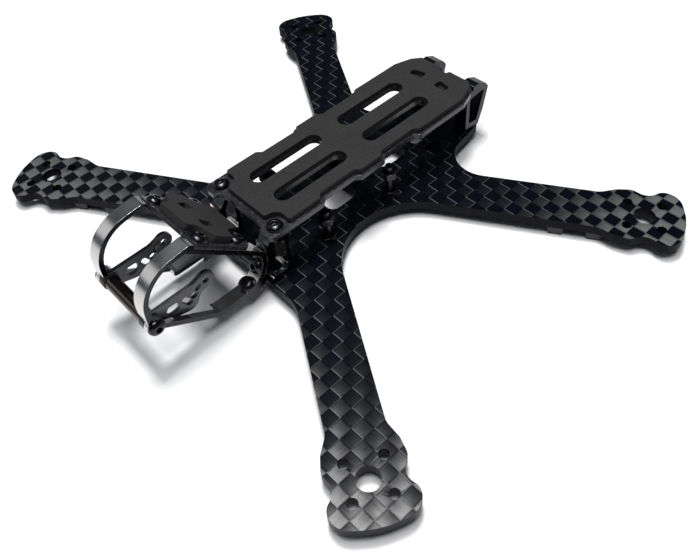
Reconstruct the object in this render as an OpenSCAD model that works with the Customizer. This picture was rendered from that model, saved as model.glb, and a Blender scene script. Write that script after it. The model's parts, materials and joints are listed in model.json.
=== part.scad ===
// Five-inch quadcopter frame: carbon plates, polished camera cage and brackets.
// +Z up, the camera cage faces -Y, the origin is on the ground under the centre of the motors.

/* [Motors and arms] */
// Motor centre, sideways from the middle of the frame
motor_x = 86.4; // [80:0.1:92]
// Motor centre, fore and aft from the middle of the frame
motor_y = 66.05; // [62:0.05:70]
// Angle of each arm from the sideways axis
arm_angle = 31; // [29:0.5:33]
// Width of an arm
arm_w = 17.4; // [15:0.1:19]
// Circle through the four motor screws
motor_pcd = 16; // [16:0.5:19]
// Radius of a motor screw hole
motor_hole_r = 1.65; // [1.6:0.05:1.8]
// Radius of the hole under a motor shaft
shaft_hole_r = 3.7; // [3:0.1:4]

/* [Plates] */
// Thickness of the main plate
plate_t = 3.5; // [3:0.5:5]
// Height of the rubber feet
foot_h = 3.5; // [3:0.5:4.5]
// Gap between the main plate and the top plate
bay_h = 18; // [18:0.5:20]
// Thickness of the top plate
deck_t = 2; // [1.5:0.5:2.5]
// Thickness of the battery pad
pad_t = 2; // [1:0.5:3]
// Spacing of the electronics stack bolts
stack_pitch = 30.5; // [30:0.5:31]

/* [Camera cage] */
// Inner face of a hoop, sideways from the middle
hoop_x = 9.7; // [9.7:0.1:10.5]
// Width of a hoop's band
hoop_w = 5; // [4.8:0.1:5.2]
// Thickness of a hoop's band
hoop_t = 1.8; // [1.4:0.1:2]
// Thickness of a camera lever
lever_t = 1.5; // [1.3:0.1:1.5]
// Radius of the pivot screws
pin_r = 1.5; // [1.5:0.1:1.5]
// Radius of the bore in a lever
lever_bore_r = 1.55; // [1.52:0.01:1.58]

/* [Hidden] */
$fn = 48;
arc_step = 9;
plate_top = foot_h + plate_t;
deck_z = plate_top + bay_h;
pad_z = deck_z + deck_t;
thread_r = 1.46;
clear_r = 1.6;
tapped_r = 1.5;
head_r = 2.85;
head_h = 1.65;
socket_r = 1.15;
socket_depth = 1;
stud_r = 1.5;
nut_r = 3.175;
nut_h = 2.4;
nut_bore_r = 1.53;
pivot_bore_r = 1.52;
washer_bore_r = 1.55;
stack_bolt_l = plate_t + 13.2;
stack_nut_z = plate_top + 8.5;
cut = 1;

half_arm = arm_w / 2;
edge_rise = half_arm / cos(arm_angle);
front_y = -41.5;
tail_y = 66.5;
tail_half_w = 13.4;
tail_slope = 0.1625;
arch_r = 26;
nose_x = motor_x - (motor_y + edge_rise + front_y) / tan(arm_angle);
arch_x = motor_x - (motor_y - edge_rise) / tan(arm_angle);
tail_x = (tail_half_w + tail_slope * (tail_y - motor_y - edge_rise + motor_x * tan(arm_angle)))
         / (1 + tail_slope * tan(arm_angle));
tail_root_y = motor_y + edge_rise + (tail_x - motor_x) * tan(arm_angle);

front_screw = [14.1, -34.7];
rear_screw = [10, 57];
front_foot_hole = [13.2, -36.6];
rear_foot_hole = [10.55, 62.8];
pin = [-81.5, 14];
eye_x = 12.5;
eye_r = 2.9;
lever_x = 10.6;
washer_t = 0.6;
standoff_half = lever_x - washer_t - 0.1;
ridge = [-62.8, 34.5];
slope_angle = 40.8;
rail_drop = 1.2;
cage_plate_t = 1.5;
cage_pad_t = 2.4;
cage_screws = [[11.4, 4.2], [11.4, 19.8]];
hoop_screw_angles = [-22, -70];
rear_arc_r = 11;
rear_y = -40.1;
bottom_z = -0.9;
cradle_t = 2.4;
foot_places = [-28.5, -15.5];

// ---- Outlines: corners are [x, y, radius] and run anticlockwise ----

function unit(v) = v / norm(v);
function flat(p) = [p.x, p.y];
function turn(a, b) = a.x * b.y - a.y * b.x;
function around(pts, i) = flat(pts[(i + len(pts)) % len(pts)]);

function corner_arc(a, b, c, r) =
    let (u = unit(a - b), w = unit(c - b),
         half = acos(u * w) / 2,
         centre = b + unit(u + w) * r / sin(half),
         p = b + u * r / tan(half) - centre,
         q = b + w * r / tan(half) - centre,
         start = atan2(p.y, p.x),
         sweep = atan2(turn(p, q), p * q),
         steps = max(2, ceil(abs(sweep) / arc_step)))
    [for (i = [0:steps]) centre + r * [cos(start + sweep * i / steps), sin(start + sweep * i / steps)]];

function rounded(pts) =
    [for (i = [0:len(pts) - 1])
        each pts[i][2] == 0 ? [flat(pts[i])]
                            : corner_arc(around(pts, i - 1), flat(pts[i]), around(pts, i + 1), pts[i][2])];

// Every edge moves inwards by d, and the radii follow it
function inset(pts, d) =
    [for (i = [0:len(pts) - 1])
        let (e = unit(flat(pts[i]) - around(pts, i - 1)), f = unit(around(pts, i + 1) - flat(pts[i])),
             n = [-e.y, e.x], m = [-f.y, f.x],
             p = flat(pts[i]) + d * (n + m) / (1 + n * m))
        [p.x, p.y, pts[i][2] == 0 ? 0 : max(0.2, pts[i][2] - d * sign(turn(e, f)))]];

// Corners on the +x side, mirrored to the other side: as a second outline, or joined as one
function flipped(pts) = [for (i = [len(pts) - 1:-1:0]) [-pts[i].x, pts[i].y, pts[i][2]]];
function whole(half) = concat(half, flipped(half));
// Points round c, from one angle to another
function arc(c, r, from, to) =
    let (steps = ceil(abs(to - from) / arc_step))
    [for (i = [0:steps]) let (a = from + (to - from) * i / steps) c + r * [cos(a), sin(a)]];

module pair(pts) { polygon(rounded(pts)); polygon(rounded(flipped(pts))); }
module both_sides() { children(); mirror([1, 0, 0]) children(); }
module on_side(side) { if (side > 0) children(); else mirror([1, 0, 0]) children(); }
module at_stack() { for (x = [-0.5, 0.5], y = [-0.5, 0.5]) translate(stack_pitch * [x, y]) children(); }
module slot(a, b, r) {
    side = r * [-unit(b - a).y, unit(b - a).x];
    translate(a) circle(r);
    translate(b) circle(r);
    polygon([a + side, a - side, b - side, b + side]);
}
// A side profile in [y, height above the main plate], drawn out along x
module across(x0, w) { translate([x0, 0, plate_top]) rotate([90, 0, 90]) linear_extrude(w) children(); }
// Puts x, distance down the slope and height off it where the cage plate lies
module on_slope() { translate([0, ridge.x, plate_top + ridge.y]) rotate([-slope_angle, 0, 0]) children(); }

// ---- Fasteners: the head stands on z = 0, the thread goes down ----

head_profile = [[0, 0], [head_r, 0], [head_r, 0.35], [2.6, 0.9], [2.1, 1.35], [1.5, head_h], [0, head_h]];

module button_screw(length, shank_r = thread_r) {
    difference() {
        union() {
            rotate_extrude() polygon(head_profile);
            translate([0, 0, -length]) cylinder(r = shank_r, h = length + 0.2);
        }
        translate([0, 0, head_h - socket_depth]) cylinder(r = socket_r, h = socket_depth + cut, $fn = 6);
    }
}
// A flat head, flush with z = 0
module flat_screw(length) {
    difference() {
        rotate_extrude()
            polygon([[0, -length], [thread_r, -length], [thread_r, -1.5],
                     [2.8, -0.2], [2.8, -0.05], [0, -0.05]]);
        translate([0, 0, -socket_depth]) cylinder(r = socket_r, h = socket_depth + cut, $fn = 6);
    }
}
module nut() {
    difference() {
        cylinder(r = nut_r, h = nut_h, $fn = 6);
        translate([0, 0, -cut]) cylinder(r = nut_bore_r, h = nut_h + 2 * cut);
    }
}

// ---- Main plate ----

// From the motor centre: u outwards along the arm, v across it
function arm_point(u, v) =
    [motor_x + u * cos(arm_angle) - v * sin(arm_angle), motor_y + u * sin(arm_angle) + v * cos(arm_angle)];
module at_motors() {
    for (sx = [0, 1], sy = [0, 1]) mirror([sx, 0, 0]) mirror([0, sy, 0])
        translate(arm_point(0, 0)) rotate(arm_angle) children();
}
// One side of a motor seat, from the arm out to its tip
pad_side = [[-15, half_arm, 6], [-9.6, 11.2, 4], [-4.3, 12.1, 3.2], [1.4, 8.9, 4.6],
            [5.6, 13.3, 4], [11.6, 11.2, 6.4]];
pad_tip = [14.1, 0, 28];

function on_arm(c, side) = let (p = arm_point(c.x, side * c.y)) [p.x, p.y, c[2]];
rear_arm = concat([for (c = pad_side) on_arm(c, -1)], [on_arm(pad_tip, 1)],
                  [for (i = [len(pad_side) - 1:-1:0]) on_arm(pad_side[i], 1)]);
front_arm = [for (i = [len(rear_arm) - 1:-1:0]) [rear_arm[i].x, -rear_arm[i].y, rear_arm[i][2]]];
half_outline = concat([[nose_x, front_y, 14]], front_arm, [[arch_x, 0, arch_r]], rear_arm,
                      [[tail_x, tail_root_y, 12], [tail_half_w, tail_y, 2]]);

module main_windows() {
    polygon(rounded([[-7.2, -5.3, 3], [7.2, -5.3, 3], [7.2, 8, 4], [-7.2, 8, 4]]));
    polygon(rounded([[-4.6, 23, 2.5], [4.6, 23, 2.5], [4.6, 36, 2.5], [-4.6, 36, 2.5]]));
    polygon(rounded([[-4, 40.5, 2], [4, 40.5, 2], [4, 54, 2], [-4, 54, 2]]));
    for (x = [-9.1, 9.1]) slot([x, 42.4], [x, 46.6], 1.4);
}
module main_plate() {
    color([0.08, 0.09, 0.11])
    translate([0, 0, foot_h])
    difference() {
        linear_extrude(plate_t) difference() { polygon(rounded(whole(half_outline))); main_windows(); }
        translate([0, 0, -cut]) {
            at_motors() {
                cylinder(r = shaft_hole_r, h = plate_t + 2 * cut);
                for (a = [45:90:315])
                    rotate(a) translate([motor_pcd / 2, 0]) cylinder(r = motor_hole_r, h = plate_t + 2 * cut);
            }
            at_stack() cylinder(r = clear_r, h = plate_t + 2 * cut);
            both_sides() {
                translate(front_foot_hole) cylinder(r = clear_r, h = plate_t + 2 * cut);
                translate(rear_foot_hole) cylinder(r = clear_r, h = plate_t + 2 * cut);
            }
        }
    }
}

module arm_feet() {
    color([0.05, 0.05, 0.05])
    at_motors() for (u = foot_places)
        translate([u, half_arm - 0.3, 0]) rotate([90, 0, 0])
            linear_extrude(arm_w - 0.6)
                polygon(rounded([[-2.3, 0, 0.6], [2.3, 0, 0.6], [2.9, foot_h, 0], [-2.9, foot_h, 0]]));
}

// ---- Top plate and its battery pad ----

deck_corners = [[10.2, -37, 2], [12, -39.4, 1.5], [17.5, -39.4, 2.5],
                [17.5, -17, 1.2], [15.7, -15, 1.2], [15.7, -1.6, 1.2], [17.5, 0.4, 1.2],
                [17.5, 11, 1.2], [15.7, 13, 1.2], [15.7, 27, 1.2], [17.5, 29, 1.2],
                [17.5, 52, 1.5], [15.2, 58.6, 1.5], [12.4, 62, 1.5]];
pad_corners = [[9.6, -35, 1], [10.6, -30, 3.5], [16.5, -30.6, 1],
               [16.5, -17.6, 1.2], [14.8, -15.8, 1.2], [14.8, -0.8, 1.2], [16.5, 1, 1.2],
               [16.5, 10.4, 1.2], [14.8, 12.2, 1.2], [14.8, 27.8, 1.2], [16.5, 29.6, 1.2],
               [16.6, 51.2, 1.5], [14.5, 58, 1.5], [11.8, 61.4, 1], [2.4, 61.4, 0.5], [1.6, 59.7, 0.5]];
rear_window = [[3.2, 51.2, 1], [8.9, 50.9, 1], [8.6, 53.9, 1], [3.4, 55, 1]];

module strap_slots() {
    for (x = [-6.3, 6.3]) {
        slot([x, -24.3], [x, -0.2], 3.15);
        slot([x, 15.7], [x, 40.3], 3.15);
    }
}
module top_plate() {
    color([0.07, 0.07, 0.08])
    translate([0, 0, deck_z])
    difference() {
        linear_extrude(deck_t) difference() {
            polygon(rounded(whole(deck_corners)));
            strap_slots();
        }
        both_sides() {
            for (p = [front_screw, rear_screw])
                translate([p.x, p.y, -cut]) cylinder(r = clear_r, h = deck_t + 2 * cut);
            translate([rear_screw.x, rear_screw.y, deck_t]) rotate_extrude()
                polygon([[0, -1.5], [clear_r, -1.5], [2.9, -0.2], [2.9, cut], [0, cut]]);
        }
    }
}
module battery_pad() {
    color([0.22, 0.21, 0.2])
    translate([0, 0, pad_z]) linear_extrude(pad_t) difference() {
        polygon(rounded(whole(pad_corners)));
        strap_slots();
        pair(rear_window);
    }
}

// ---- Front brackets, each with a cradle round the back of its hoop ----

rail_start = [ridge.x - rail_drop * sin(slope_angle), ridge.y - rail_drop * cos(slope_angle)];
rail_foot_z = rail_start.y - (rear_y - rail_start.x) * tan(slope_angle);
// The top of the band rises a little from the front corner to the sloping rail
nose = [-83.5, 33.3];
crown_rise = 0.13;
crown_y = (rail_start.y + rail_start.x * tan(slope_angle) - nose.y + nose.x * crown_rise)
          / (tan(slope_angle) + crown_rise);
hoop_corners = [[-60.8, bottom_z, 3], [rear_y, bottom_z, rear_arc_r], [rear_y, rail_foot_z, 6.5],
                [crown_y, nose.y + crown_rise * (crown_y - nose.x), 2], [nose.x, nose.y, 14],
                [nose.x, pin.y, 2.4]];
// The same with the lip that stands up in front of the cage plate
hoop_outline = concat([for (i = [0:2]) hoop_corners[i]],
                      [[rail_start.x, rail_start.y, 0], [ridge.x, ridge.y, 0.3], [-64.5, 35.7, 1]],
                      [for (i = [4:5]) hoop_corners[i]]);
rear_arc = [rear_y - rear_arc_r, bottom_z + rear_arc_r];

cradle_r = rear_arc_r + 0.05;
cradle_x = rear_arc.x + cradle_r;

front_post = [[-32.2, 0, 0.5], [-32.2, 13, 1], [-31.5, 15.5, 0.4], [-31.5, 18, 0], [-36.6, 18, 0],
              [-36.6, 15.5, 0.4], [-33.7, 15.5, 1], [-33.7, 1.5, 1], [-40.3, 1.5, 0.4], [-40.3, 0, 0]];
module cradle_profile() {
    polygon(concat(
        arc(rear_arc, cradle_r + cradle_t, -85, 0),
        [[cradle_x + cradle_t, 13.2], [-36.2, 15.5], [-33, 15.5], [-33, 18], [-36.6, 18],
         [-39.1, 14.8], [cradle_x, 14.8]],
        arc(rear_arc, cradle_r, 0, -85)));
}
module at_hoop_screws() {
    for (a = hoop_screw_angles)
        translate([hoop_x + hoop_w / 2, rear_arc.x, plate_top + rear_arc.y]) rotate([a - 90, 0, 0])
            translate([0, 0, rear_arc_r - hoop_t]) children();
}
module front_bracket(side) {
    color([0.75, 0.76, 0.78])
    on_side(side)
    difference() {
        union() {
            across(hoop_x, hoop_w) cradle_profile();
            across(10.3, 6.3) polygon(rounded(front_post));
        }
        translate([0, 0, plate_top]) linear_extrude(2.5)
            slot(front_foot_hole - [0, 0.4], front_foot_hole + [0, 0.4], clear_r);
        translate([front_screw.x, front_screw.y, deck_z - 5]) cylinder(r = tapped_r, h = 5 + cut);
        at_hoop_screws() cylinder(r = tapped_r, h = 6);
    }
}

rear_post = [[51, 18, 0], [51, 15.8, 1], [59, 15.6, 0.8], [59, 0, 0], [66.3, 0, 0.4], [68.8, 6, 6],
             [71.2, 15.6, 1], [69.6, 17.8, 2], [65.4, 19.7, 1], [62.4, 19.7, 0.4], [62.4, 18, 0]];
rear_post_window = [[60.8, 3.2, 0.8], [65.2, 2.8, 0.8], [68.9, 15.6, 0.8], [60.8, 14.8, 0.8]];
module rear_bracket(side) {
    color([0.72, 0.73, 0.75])
    on_side(side)
    difference() {
        across(7.8, 5.5) difference() {
            polygon(rounded(rear_post));
            polygon(rounded(rear_post_window));
        }
        translate([rear_foot_hole.x, rear_foot_hole.y, plate_top - cut]) cylinder(r = tapped_r, h = 5 + cut);
        translate([rear_screw.x, rear_screw.y, deck_z - 4]) cylinder(r = tapped_r, h = 4 + cut);
    }
}

// ---- Camera cage ----

// The band narrows to its outer half round the pivot and along the lower strut
module hoop_profile() {
    difference() {
        polygon(rounded(hoop_outline));
        polygon(rounded(inset(hoop_corners, hoop_t)));
    }
}
module cage_hoop(side) {
    color([0.82, 0.83, 0.85])
    on_side(side)
    difference() {
        union() {
            across(hoop_x, hoop_w) hoop_profile();
            on_pin() translate([0, 0, eye_x]) cylinder(r = eye_r, h = hoop_x + hoop_w - eye_x);
        }
        across(hoop_x - cut, eye_x - hoop_x + cut)
            polygon([[-90, -5], [-62.2, -5], [-61.6, 2.4], [-78, 12.6], [-78, 17.8], [-90, 17.8]]);
        on_pin() translate([0, 0, eye_x - cut]) cylinder(r = pivot_bore_r, h = hoop_w);
        at_hoop_screws() translate([0, 0, -2]) cylinder(r = clear_r, h = 6);
        on_slope() for (p = cage_screws)
            translate([p.x, p.y, -rail_drop - 3]) cylinder(r = tapped_r, h = 5);
    }
}

cage_plate_corners = [[7, 0.9, 0.6], [8, 0.4, 0.6], [14.7, 0.4, 0.8], [14.7, 22.2, 2], [12.6, 24.2, 2]];
cage_pad_corners = [[6.6, 1.6, 1], [7.7, 6.2, 3.4], [13.2, 8.4, 1], [13.2, 15.6, 1],
                    [8.4, 16.8, 3], [6.9, 22.9, 1.5]];

module cage_plate() {
    color([0.07, 0.07, 0.08])
    on_slope() translate([0, 0, -rail_drop]) difference() {
        linear_extrude(cage_plate_t) polygon(rounded(whole(cage_plate_corners)));
        both_sides() for (p = cage_screws)
            translate([p.x, p.y, -cut]) cylinder(r = clear_r, h = cage_plate_t + 2 * cut);
    }
}
module cage_pad() {
    color([0.2, 0.19, 0.17])
    on_slope() translate([0, 0, cage_plate_t - rail_drop]) linear_extrude(cage_pad_t) difference() {
        polygon(rounded(whole(cage_pad_corners)));
        pair([[3, 9, 0.8], [6.8, 8.2, 0.8], [7.6, 12.4, 0.8], [4.4, 13.6, 0.8]]);
    }
}

// ---- Pivot across the front of the cage, and the camera levers on it ----

tip = [-61.3, 15.6];
lever_corners = [[pin.x, 11.1, 0], [-74.5, 8.9, 2], [-66.6, 6.9, 3.5], [-63.9, 12, 3], [tip.x, 12.4, 0],
                 [tip.x, 18.8, 0], [-66, 17.1, 5], [pin.x, 16.9, 0]];

lever_window = [[-76.6, 12.6, 0.8], [-75, 10.8, 1.2], [-71.7, 10.8, 1.2], [-71.7, 14.6, 1.2],
                [-75.4, 14.6, 1.2]];
module camera_lever(side) {
    color([0.25, 0.25, 0.27])
    on_side(side)
    difference() {
        across(lever_x, lever_t) difference() {
            union() {
                polygon(rounded(lever_corners));
                translate(tip) circle(3.2);
                translate(pin) circle(eye_r);
            }
            slot([-64.7, 14.5], [-63.9, 15.1], 0.75);
            translate([-66.2, 12.7]) circle(1.25);
            slot([-69.5, 13.2], [-68.2, 11], 1.05);
            polygon(rounded(lever_window));
        }
        translate([lever_x - cut, 0, plate_top]) {
            translate([0, pin.x, pin.y]) rotate([0, 90, 0]) cylinder(r = lever_bore_r, h = lever_t + 2 * cut);
            translate([0, tip.x, tip.y]) rotate([0, 90, 0]) cylinder(r = 1.1, h = lever_t + 2 * cut);
        }
    }
}
module on_pin() { translate([0, pin.x, plate_top + pin.y]) rotate([0, 90, 0]) children(); }
module ring(x0, length, r, bore) {
    difference() {
        translate([0, 0, x0]) cylinder(r = r, h = length);
        translate([0, 0, x0 - cut]) cylinder(r = bore, h = length + 2 * cut);
    }
}
module front_standoff() {
    color([0.24, 0.2, 0.18])
    on_pin() ring(-standoff_half, 2 * standoff_half, 2.5, nut_bore_r);
}
module pivot_washers() {
    color([0.05, 0.05, 0.05])
    both_sides() on_pin() {
        ring(standoff_half, washer_t, eye_r, washer_bore_r);
        ring(lever_x + lever_t + 0.1, eye_x - lever_x - lever_t - 0.1, 2.6, washer_bore_r);
    }
}
module pivot_screws() {
    color([0.1, 0.1, 0.11])
    both_sides() on_pin() translate([0, 0, hoop_x + hoop_w]) button_screw(10, pin_r);
}

// ---- Screws, bolts and nuts ----

module cage_plate_screws() {
    color([0.1, 0.1, 0.11])
    both_sides() on_slope() for (p = cage_screws)
        translate([p.x, p.y, cage_plate_t - rail_drop]) button_screw(3.1);
}
module hoop_screws() {
    color([0.1, 0.1, 0.11])
    both_sides() at_hoop_screws() translate([0, 0, -0.5]) mirror([0, 0, 1]) button_screw(3.9);
}
module top_plate_front_screws() {
    color([0.1, 0.1, 0.11])
    both_sides() translate([front_screw.x, front_screw.y, pad_z]) button_screw(5);
}
module top_plate_rear_screws() {
    color([0.1, 0.1, 0.11])
    both_sides() translate([rear_screw.x, rear_screw.y, pad_z]) flat_screw(4.2);
}
module foot_screws(p, length) {
    both_sides() translate([p.x, p.y, foot_h]) mirror([0, 0, 1]) button_screw(length);
}
module front_foot_screws() { color([0.1, 0.1, 0.11]) foot_screws(front_foot_hole, plate_t + 1.2); }
module rear_foot_screws() { color([0.1, 0.1, 0.11]) foot_screws(rear_foot_hole, plate_t + 2.6); }

module stack_bolts() {
    color([0.12, 0.12, 0.13])
    at_stack() translate([0, 0, foot_h]) {
        mirror([0, 0, 1]) button_screw(stack_bolt_l);
        translate([0, 0, stack_nut_z + nut_h - foot_h])
            cylinder(r = stud_r, h = stack_bolt_l - (stack_nut_z + nut_h - foot_h));
    }
}
module stack_base_nuts() { color([0.12, 0.12, 0.13]) at_stack() translate([0, 0, plate_top]) nut(); }
module stack_top_nuts() { color([0.12, 0.12, 0.13]) at_stack() translate([0, 0, stack_nut_z]) nut(); }

main_plate();
arm_feet();
top_plate();
battery_pad();
front_bracket(1);  // front_bracket_left
front_bracket(-1);  // front_bracket_right
rear_bracket(1);  // rear_bracket_left
rear_bracket(-1);  // rear_bracket_right
cage_hoop(1);  // cage_hoop_left
cage_hoop(-1);  // cage_hoop_right
cage_plate();
cage_pad();
camera_lever(1);  // camera_lever_left
camera_lever(-1);  // camera_lever_right
front_standoff();
pivot_washers();
pivot_screws();
cage_plate_screws();
hoop_screws();
top_plate_front_screws();
top_plate_rear_screws();
front_foot_screws();
rear_foot_screws();
stack_bolts();
stack_base_nuts();
stack_top_nuts();
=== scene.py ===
import json
import math

import bmesh
import bpy
from mathutils import Euler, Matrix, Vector

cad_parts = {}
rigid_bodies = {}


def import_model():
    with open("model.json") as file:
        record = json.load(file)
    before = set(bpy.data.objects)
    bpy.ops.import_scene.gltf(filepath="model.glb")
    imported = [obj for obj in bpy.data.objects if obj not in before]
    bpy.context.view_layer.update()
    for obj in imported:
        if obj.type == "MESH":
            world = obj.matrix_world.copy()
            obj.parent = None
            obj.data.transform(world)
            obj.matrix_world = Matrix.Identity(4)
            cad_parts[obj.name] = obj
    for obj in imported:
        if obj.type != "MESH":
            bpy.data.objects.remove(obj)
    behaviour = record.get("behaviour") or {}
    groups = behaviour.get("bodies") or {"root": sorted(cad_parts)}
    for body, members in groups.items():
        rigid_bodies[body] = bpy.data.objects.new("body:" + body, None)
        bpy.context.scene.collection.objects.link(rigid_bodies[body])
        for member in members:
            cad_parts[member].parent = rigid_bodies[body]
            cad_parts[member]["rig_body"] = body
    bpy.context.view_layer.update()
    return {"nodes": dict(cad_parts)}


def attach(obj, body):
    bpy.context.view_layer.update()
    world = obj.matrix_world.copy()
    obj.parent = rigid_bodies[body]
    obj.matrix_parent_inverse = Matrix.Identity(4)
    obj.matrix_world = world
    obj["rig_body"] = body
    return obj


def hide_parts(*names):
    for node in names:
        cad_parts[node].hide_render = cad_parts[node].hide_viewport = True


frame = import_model()
mm = 0.001
print("frame loaded:", len(frame["nodes"]), "nodes")


def newMaterial(name):
    mat = bpy.data.materials.new(name)
    mat.use_nodes = True
    tree = mat.node_tree
    shader = tree.nodes["Principled BSDF"]
    return mat, tree, shader


def addNode(tree, kind, **settings):
    node = tree.nodes.new(kind)
    for key, value in settings.items():
        setattr(node, key, value)
    return node


def plug(tree, source, socket):
    if isinstance(source, (int, float, tuple)):
        socket.default_value = source
    else:
        tree.links.new(source, socket)


def calc(tree, operation, a, b=0.0, clamp=False):
    node = addNode(tree, "ShaderNodeMath", operation=operation, use_clamp=clamp)
    plug(tree, a, node.inputs[0])
    plug(tree, b, node.inputs[1])
    return node.outputs[0]


def blendColor(tree, factor, a, b):
    node = addNode(tree, "ShaderNodeMix", data_type="RGBA")
    plug(tree, factor, node.inputs[0])
    plug(tree, a, node.inputs[6])
    plug(tree, b, node.inputs[7])
    return node.outputs[2]


def objectPlace(tree):
    coords = addNode(tree, "ShaderNodeTexCoord")
    return coords.outputs["Object"]


def noise(tree, place, scale, detail=2.0, roughness=0.5):
    node = addNode(tree, "ShaderNodeTexNoise")
    node.inputs["Scale"].default_value = scale
    node.inputs["Detail"].default_value = detail
    node.inputs["Roughness"].default_value = roughness
    tree.links.new(place, node.inputs["Vector"])
    return node.outputs["Fac"]


def stretched(tree, place, scale):
    node = addNode(tree, "ShaderNodeMapping")
    node.inputs["Scale"].default_value = scale
    tree.links.new(place, node.inputs["Vector"])
    return node.outputs[0]


def remap(tree, value, low, high, outLow, outHigh):
    node = addNode(tree, "ShaderNodeMapRange")
    node.inputs[1].default_value = low
    node.inputs[2].default_value = high
    node.inputs[3].default_value = outLow
    node.inputs[4].default_value = outHigh
    tree.links.new(value, node.inputs[0])
    return node.outputs[0]


def bump(tree, height, distance, strength=1.0):
    node = addNode(tree, "ShaderNodeBump")
    node.inputs["Strength"].default_value = strength
    node.inputs["Distance"].default_value = distance
    tree.links.new(height, node.inputs["Height"])
    return node.outputs["Normal"]


def surfaceNormal(tree):
    coords = addNode(tree, "ShaderNodeTexCoord")
    split = addNode(tree, "ShaderNodeSeparateXYZ")
    tree.links.new(coords.outputs["Normal"], split.inputs[0])
    return split.outputs


weave = {
    "pitch": 4.55 * mm,  # one square of the plain weave
    "edge": 0.06,  # share of a square that the painted glint line takes
    "endX": 0.45,  # how strong the painted glint line is on the squares that run along X
    "sunk": 0.11,  # share of a square over which its rim darkens
    "flatFace": 0.8,  # a face counts as top or bottom above this upward share
    "cloud": 60,
    "layers": 900,  # the stacked sheets that show on a cut side
    "strand": 2600,
    "fibre": 1500,
    "fibreStretch": 0.08,
    # squareA is a touch lighter than squareB: a slight painted sheen for the fibre reflection that
    # alternates between squares
    "squareA": (0.0014, 0.0016, 0.0030, 1),
    "squareB": (0.0012, 0.0014, 0.0028, 1),
    # colour of the painted highlight: a glint line at the square edges
    "glintLine": (0.085, 0.088, 0.094, 1),
    "side": (0.0045, 0.0045, 0.006, 1),
    "sideLight": (0.011, 0.011, 0.0125, 1),
    "roughness": 0.32,
    "anisotropic": 0.97,
    "shine": 0.50,
    "sideShine": 0.05,
    "crown": 0.06 * mm,
}


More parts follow.
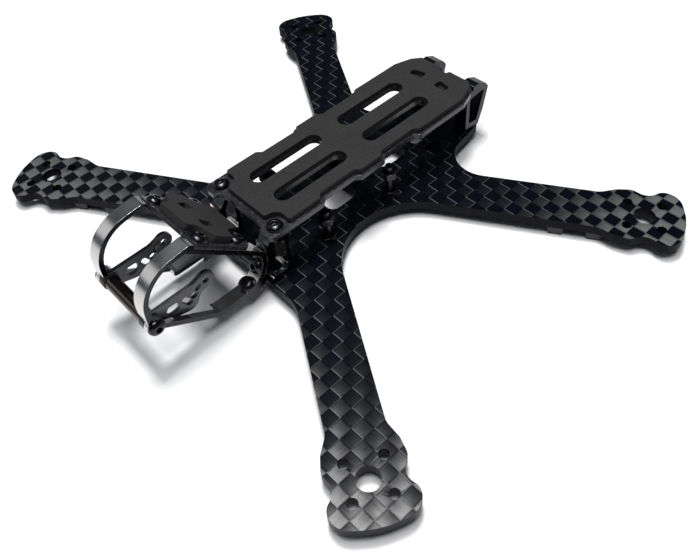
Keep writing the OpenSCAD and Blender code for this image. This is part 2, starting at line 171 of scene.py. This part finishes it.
def carbonWeave(name, spec):
    mat, tree, shader = newMaterial(name)
    place = objectPlace(tree)
    split = addNode(tree, "ShaderNodeSeparateXYZ")
    tree.links.new(place, split.inputs[0])
    across = calc(tree, "DIVIDE", split.outputs[0], spec["pitch"])
    along = calc(tree, "DIVIDE", split.outputs[1], spec["pitch"])
    cellX = calc(tree, "FLOOR", across)
    cellY = calc(tree, "FLOOR", along)
    inX = calc(tree, "SUBTRACT", across, cellX)  # 0 to 1 inside a square
    inY = calc(tree, "SUBTRACT", along, cellY)
    parity = calc(tree, "FLOORED_MODULO", calc(tree, "ADD", cellX, cellY), 2.0)

    # painted highlight: a bright glint line on the lower edge of one set of squares and, at endX
    # strength, on the right edge of the other set
    lineY = calc(tree, "LESS_THAN", inY, spec["edge"])
    lineX = calc(tree, "GREATER_THAN", inX, 1 - spec["edge"])
    otherParity = calc(tree, "SUBTRACT", 1.0, parity)
    endX = calc(tree, "MULTIPLY", calc(tree, "MULTIPLY", lineX, otherParity), spec["endX"])
    glintMask = calc(tree, "MAXIMUM", calc(tree, "MULTIPLY", lineY, parity), endX)

    nearX = calc(tree, "MINIMUM", inX, calc(tree, "SUBTRACT", 1.0, inX))
    nearY = calc(tree, "MINIMUM", inY, calc(tree, "SUBTRACT", 1.0, inY))
    inside = remap(tree, calc(tree, "MINIMUM", nearX, nearY), 0.0, spec["sunk"], 0.0, 1.0)

    cloudy = noise(tree, place, spec["cloud"], 3)
    # the squares alternate in tone as a slight painted sheen
    squares = blendColor(tree, parity, spec["squareA"], spec["squareB"])
    glintAmount = calc(tree, "MULTIPLY", glintMask, remap(tree, cloudy, 0.3, 0.7, 0.55, 1.0))
    top = blendColor(tree, glintAmount, squares, spec["glintLine"])

    upward = calc(tree, "ABSOLUTE", surfaceNormal(tree)[2])
    onFace = calc(tree, "GREATER_THAN", upward, spec["flatFace"])
    layers = addNode(tree, "ShaderNodeTexWave", bands_direction="Z")
    layers.inputs["Scale"].default_value = spec["layers"]
    layers.inputs["Distortion"].default_value = 1.5
    tree.links.new(place, layers.inputs["Vector"])
    layerAmount = calc(tree, "MULTIPLY", layers.outputs["Fac"], 0.5)
    side = blendColor(tree, layerAmount, spec["side"], spec["sideLight"])
    tree.links.new(blendColor(tree, onFace, side, top), shader.inputs["Base Color"])

    # fibres run along X in one set of squares and along Y in the other
    grainWay = addNode(tree, "ShaderNodeCombineXYZ")
    tree.links.new(parity, grainWay.inputs[0])
    tree.links.new(otherParity, grainWay.inputs[1])
    tree.links.new(grainWay.outputs[0], shader.inputs["Tangent"])

    crownX = calc(tree, "MULTIPLY", inX, calc(tree, "SUBTRACT", 1.0, inX))
    crownY = calc(tree, "MULTIPLY", inY, calc(tree, "SUBTRACT", 1.0, inY))
    hill = calc(tree, "MULTIPLY", crownX, crownY)
    raised = calc(tree, "MULTIPLY", hill, 16.0)  # 1 in the middle of a square
    strands = calc(tree, "MULTIPLY", noise(tree, place, spec["strand"], 2), 0.12)
    height = calc(tree, "MULTIPLY", calc(tree, "ADD", raised, strands), onFace)
    tree.links.new(bump(tree, height, spec["crown"], 0.35), shader.inputs["Normal"])

    fibreX = noise(tree, stretched(tree, place, (spec["fibreStretch"], 1, 1)), spec["fibre"], 2)
    fibreY = noise(tree, stretched(tree, place, (1, spec["fibreStretch"], 1)), spec["fibre"], 2)
    fibre = addNode(tree, "ShaderNodeMix")
    plug(tree, parity, fibre.inputs[0])
    plug(tree, fibreX, fibre.inputs[2])
    plug(tree, fibreY, fibre.inputs[3])
    streaks = remap(tree, fibre.outputs[0], 0.3, 0.7, 0.78, 1.0)
    sheen = calc(tree, "MULTIPLY", streaks, spec["shine"])
    rimmed = calc(tree, "MULTIPLY", sheen, remap(tree, inside, 0.0, 1.0, 0.35, 1.0))
    onSide = calc(tree, "MULTIPLY", calc(tree, "SUBTRACT", 1.0, onFace), spec["sideShine"])
    gloss = calc(tree, "ADD", calc(tree, "MULTIPLY", rimmed, onFace), onSide)
    tree.links.new(gloss, shader.inputs["Specular IOR Level"])
    shader.inputs["Roughness"].default_value = spec["roughness"]
    shader.inputs["Anisotropic"].default_value = spec["anisotropic"]
    return mat


deck = {
    "base": (0.008, 0.008, 0.010, 1),
    "fleck": (0.02, 0.02, 0.023, 1),
    "roughness": 0.28,
    "pitch": 1.5 * mm,
}


def glossCarbon(name, spec):
    mat, tree, shader = newMaterial(name)
    place = objectPlace(tree)
    checker = addNode(tree, "ShaderNodeTexChecker")
    checker.inputs["Scale"].default_value = 1 / spec["pitch"]
    tree.links.new(place, checker.inputs["Vector"])
    cloudy = noise(tree, place, 400, 3)
    patches = remap(tree, cloudy, 0.35, 0.65, 0.2, 0.8)
    amount = calc(tree, "MULTIPLY", checker.outputs["Fac"], patches)
    shade = blendColor(tree, amount, spec["base"], spec["fleck"])
    tree.links.new(shade, shader.inputs["Base Color"])
    rough = remap(tree, cloudy, 0.3, 0.7, spec["roughness"] - 0.06, spec["roughness"] + 0.08)
    tree.links.new(rough, shader.inputs["Roughness"])
    tree.links.new(bump(tree, noise(tree, place, 1500, 2), 0.01 * mm, 0.4), shader.inputs["Normal"])
    return mat


grip = {
    "batteryPad": {
        "dark": (0.004, 0.004, 0.0042, 1),
        "light": (0.019, 0.019, 0.0198, 1),
        "grain": 1700,
        "depth": 0.16 * mm,
    },
    "cagePad": {
        "dark": (0.004, 0.004, 0.004, 1),
        "light": (0.0145, 0.0142, 0.0142, 1),
        "grain": 1700,
        "depth": 0.12 * mm,
    },
}


def gripRubber(name, spec):
    mat, tree, shader = newMaterial(name)
    place = objectPlace(tree)
    grain = noise(tree, place, spec["grain"], 3, 0.65)
    patches = noise(tree, place, 90, 2)
    speckle = remap(tree, grain, 0.36, 0.64, 0.0, 1.0)
    worn = remap(tree, patches, 0.3, 0.7, 0.75, 1.0)
    amount = calc(tree, "MULTIPLY", speckle, worn, clamp=True)
    color = blendColor(tree, amount, spec["dark"], spec["light"])
    tree.links.new(color, shader.inputs["Base Color"])
    tree.links.new(bump(tree, grain, spec["depth"], 0.9), shader.inputs["Normal"])
    tree.links.new(remap(tree, grain, 0.3, 0.7, 0.72, 0.95), shader.inputs["Roughness"])
    shader.inputs["Specular IOR Level"].default_value = 0.3
    return mat


metals = {
    "polished": {
        "color": (0.60, 0.595, 0.58, 1),
        "paintedCheekShade": (0.035, 0.035, 0.038, 1),
        "rough": (0.20, 0.25),
    },
    "bracket": {
        "color": (0.62, 0.61, 0.59, 1),
        "paintedCheekShade": (0.035, 0.035, 0.04, 1),
        "rough": (0.10, 0.13),
    },
    "post": {
        "color": (0.032, 0.032, 0.036, 1),
        "paintedCheekShade": (0.036, 0.036, 0.04, 1),
        "rough": (0.26, 0.36),
    },
    "lever": {
        "color": (0.085, 0.085, 0.09, 1),
        "paintedCheekShade": (0.085, 0.085, 0.09, 1),
        "rough": (0.28, 0.40),
    },
    "tube": {
        "color": (0.08, 0.066, 0.06, 1),
        "paintedCheekShade": (0.08, 0.066, 0.06, 1),
        "rough": (0.12, 0.22),
    },
    "blackSteel": {
        "color": (0.04, 0.04, 0.045, 1),
        "paintedCheekShade": (0.04, 0.04, 0.045, 1),
        "rough": (0.22, 0.34),
    },
}


def metal(name, spec):
    mat, tree, shader = newMaterial(name)
    place = objectPlace(tree)
    # fine lines that run across the band
    lines = noise(tree, stretched(tree, place, (0.12, 1, 1)), 3200, 3)
    smears = noise(tree, place, 140, 3)
    wear = remap(tree, smears, 0.35, 0.7, 0.93, 1.0)
    tint = addNode(tree, "ShaderNodeMix", data_type="RGBA", blend_type="MULTIPLY")
    tint.inputs[0].default_value = 1
    sideways = calc(tree, "ABSOLUTE", surfaceNormal(tree)[0])
    paintedCheekShade = remap(tree, sideways, 0.86, 0.96, 0.0, 1.0)  # the cut side faces get their own colour, a painted shade that stands for the dark reflection they show on the polished parts
    tree.links.new(blendColor(tree, paintedCheekShade, spec["color"], spec["paintedCheekShade"]), tint.inputs[6])
    shade = addNode(tree, "ShaderNodeCombineColor")
    for socket in shade.inputs:
        tree.links.new(wear, socket)
    tree.links.new(shade.outputs[0], tint.inputs[7])
    tree.links.new(tint.outputs[2], shader.inputs["Base Color"])
    tree.links.new(remap(tree, smears, 0.3, 0.7, *spec["rough"]), shader.inputs["Roughness"])
    tree.links.new(bump(tree, lines, 0.003 * mm, 0.5), shader.inputs["Normal"])
    shader.inputs["Metallic"].default_value = 1
    return mat


dustColor = (0.05, 0.05, 0.05, 1)


def softRubber(name, color, roughness):
    mat, tree, shader = newMaterial(name)
    place = objectPlace(tree)
    grain = noise(tree, place, 1200, 3)
    dust = noise(tree, place, 70, 2)
    dusty = remap(tree, dust, 0.4, 0.8, 0, 0.5)
    tree.links.new(blendColor(tree, dusty, color, dustColor), shader.inputs["Base Color"])
    tree.links.new(bump(tree, grain, 0.03 * mm, 0.5), shader.inputs["Normal"])
    rough = remap(tree, grain, 0.3, 0.7, roughness - 0.1, roughness + 0.1)
    tree.links.new(rough, shader.inputs["Roughness"])
    return mat


finishes = {
    "weave": carbonWeave("wovenCarbon", weave),
    "deck": glossCarbon("glossCarbon", deck),
    "batteryPad": gripRubber("batteryGrip", grip["batteryPad"]),
    "cagePad": gripRubber("cageGrip", grip["cagePad"]),
    "polished": metal("polishedMetal", metals["polished"]),
    "bracket": metal("bracketMetal", metals["bracket"]),
    "post": metal("postMetal", metals["post"]),
    "lever": metal("leverMetal", metals["lever"]),
    "tube": metal("tubeMetal", metals["tube"]),
    "blackSteel": metal("blackSteel", metals["blackSteel"]),
    "foot": softRubber("footRubber", (0.015, 0.015, 0.016, 1), 0.6),
    "washer": softRubber("washerBlack", (0.012, 0.012, 0.012, 1), 0.5),
}
print("materials made:", len(finishes))


def edgeBreak(width, segments, finish, slot):
    return {"width": width, "segments": segments, "finish": finish, "slot": slot}


edgeBreaks = {
    "main_plate": edgeBreak(0.4, 2, "weave", "carbon"),
    "top_plate": edgeBreak(0.25, 2, "deck", "deck_carbon"),
    "cage_plate": edgeBreak(0.2, 2, "deck", "deck_carbon"),
    "battery_pad": edgeBreak(0.35, 3, "batteryPad", "grip_pad"),
    "cage_pad": edgeBreak(0.4, 3, "cagePad", "grip_pad"),
    "arm_feet": edgeBreak(0.4, 3, "foot", "foot_rubber"),
    "front_bracket_left": edgeBreak(0.2, 2, "bracket", "polished_metal"),
    "front_bracket_right": edgeBreak(0.2, 2, "bracket", "polished_metal"),
    "rear_bracket_left": edgeBreak(0.25, 2, "post", "polished_metal"),
    "rear_bracket_right": edgeBreak(0.25, 2, "post", "polished_metal"),
    "cage_hoop_left": edgeBreak(0.25, 2, "polished", "polished_metal"),
    "cage_hoop_right": edgeBreak(0.25, 2, "polished", "polished_metal"),
    "camera_lever_left": edgeBreak(0.2, 2, "lever", "lever_metal"),
    "camera_lever_right": edgeBreak(0.2, 2, "lever", "lever_metal"),
    "front_standoff": edgeBreak(0.25, 2, "tube", "tube_metal"),
    "pivot_washers": edgeBreak(0.08, 2, "washer", "washer_black"),
}
fastenerNodes = [
    "pivot_screws", "cage_plate_screws", "hoop_screws", "top_plate_front_screws",
    "top_plate_rear_screws", "front_foot_screws", "rear_foot_screws",
    "stack_bolts", "stack_base_nuts", "stack_top_nuts",
]
for fastener in fastenerNodes:
    edgeBreaks[fastener] = edgeBreak(0.1, 2, "blackSteel", "black_steel")

merge = {
    "doubles": 0.002 * mm,
    "flat": math.radians(0.5),  # neighbouring faces closer than this become one
    "sharp": math.radians(32),  # edges turned more than this are broken
    "shading": math.radians(38),
}


def breakEdges(node, spec):
    source = frame["nodes"][node]
    bm = bmesh.new()
    bm.from_mesh(source.data)
    bmesh.ops.remove_doubles(bm, verts=bm.verts, dist=merge["doubles"])
    bmesh.ops.dissolve_limit(bm, angle_limit=merge["flat"], verts=bm.verts, edges=bm.edges)
    joined = [edge for edge in bm.edges if len(edge.link_faces) == 2]
    sharp = [edge for edge in joined if edge.calc_face_angle(0) > merge["sharp"]]
    bmesh.ops.bevel(bm, geom=sharp, offset=spec["width"] * mm, offset_type="OFFSET",
                    affect="EDGES", segments=spec["segments"], profile=0.5, material=-1,
                    clamp_overlap=True, miter_outer="ARC")
    bmesh.ops.triangulate(bm, faces=[face for face in bm.faces if len(face.verts) > 4])
    mesh = bpy.data.meshes.new(node + "_finished")
    bm.to_mesh(mesh)
    bm.free()
    mesh.shade_smooth()
    mesh.set_sharp_from_angle(angle=merge["shading"])
    piece = bpy.data.objects.new(node + "_finished", mesh)
    bpy.context.scene.collection.objects.link(piece)
    keepFlat = piece.modifiers.new("flatFaces", "WEIGHTED_NORMAL")
    keepFlat.keep_sharp = True
    mesh.materials.append(finishes[spec["finish"]])
    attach(piece, source["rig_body"])
    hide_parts(node)
    return piece


pieces = {node: breakEdges(node, spec) for node, spec in edgeBreaks.items()}
print("pieces made:", len(pieces))


lights = {
    "overhead": {
        "power": 9.0,
        "size": (0.5, 0.46),
        "at": (0.16, -0.14, 1.0),
        "target": (0.16, -0.14, 0.0),
    },
    "key": {
        "power": 11.0,
        "size": (0.2, 0.2),
        "at": (-0.12, 0.095, 1.0),
        "target": (-0.12, 0.095, 0.0),
    },
    "front": {
        "power": 2.5,
        "size": (1.2, 0.8),
        "at": (-1.1, -1.1, 0.85),
        "target": (0.0, 0.0, 0.0),
    },
}
studio = {
    "floorSize": 6.0,
    "floorColor": (0.62, 0.62, 0.625, 1),
    "floorRoughness": 0.8,
    "world": 0.06,
    "worldColor": (0.62, 0.75, 1.0, 1),
}


def makeFloor():
    bm = bmesh.new()
    bmesh.ops.create_grid(bm, x_segments=1, y_segments=1, size=studio["floorSize"] / 2)
    mesh = bpy.data.meshes.new("floor")
    bm.to_mesh(mesh)
    bm.free()
    floor = bpy.data.objects.new("floor", mesh)
    bpy.context.scene.collection.objects.link(floor)
    mat, tree, shader = newMaterial("floorPaper")
    shader.inputs["Base Color"].default_value = studio["floorColor"]
    shader.inputs["Roughness"].default_value = studio["floorRoughness"]
    mesh.materials.append(mat)


def areaLight(name, spec):
    light = bpy.data.lights.new(name, "AREA")
    light.shape = "RECTANGLE"
    light.size, light.size_y = spec["size"]
    light.energy = spec["power"]
    lamp = bpy.data.objects.new(name, light)
    lamp.location = spec["at"]
    aim = Vector(spec["target"]) - Vector(spec["at"])
    lamp.rotation_euler = aim.to_track_quat("-Z", "Y").to_euler()
    bpy.context.scene.collection.objects.link(lamp)


def makeWorld():
    world = bpy.data.worlds.new("studio")
    world.use_nodes = True
    back = world.node_tree.nodes["Background"]
    back.inputs["Color"].default_value = studio["worldColor"]
    back.inputs["Strength"].default_value = studio["world"]
    bpy.context.scene.world = world


camera = {
    "at": (160.43, -127.75, 205.6),
    "turn": (45.30, 3.68, 46.62),
    "lens": 40.57,
    "shift": (0.0102, -0.1136),
}


def makeCamera():
    data = bpy.data.cameras.new("camera")
    data.sensor_width = 36
    data.lens = camera["lens"]
    data.shift_x, data.shift_y = camera["shift"]
    data.clip_start = 0.01
    data.clip_end = 20
    cam = bpy.data.objects.new("camera", data)
    cam.location = Vector(camera["at"]) * mm
    cam.rotation_euler = Euler([math.radians(a) for a in camera["turn"]], "XYZ")
    bpy.context.scene.collection.objects.link(cam)
    bpy.context.scene.camera = cam


makeFloor()
makeWorld()
for name, spec in lights.items():
    areaLight(name, spec)
makeCamera()
bpy.context.scene.view_settings.view_transform = "Standard"
print("studio made")
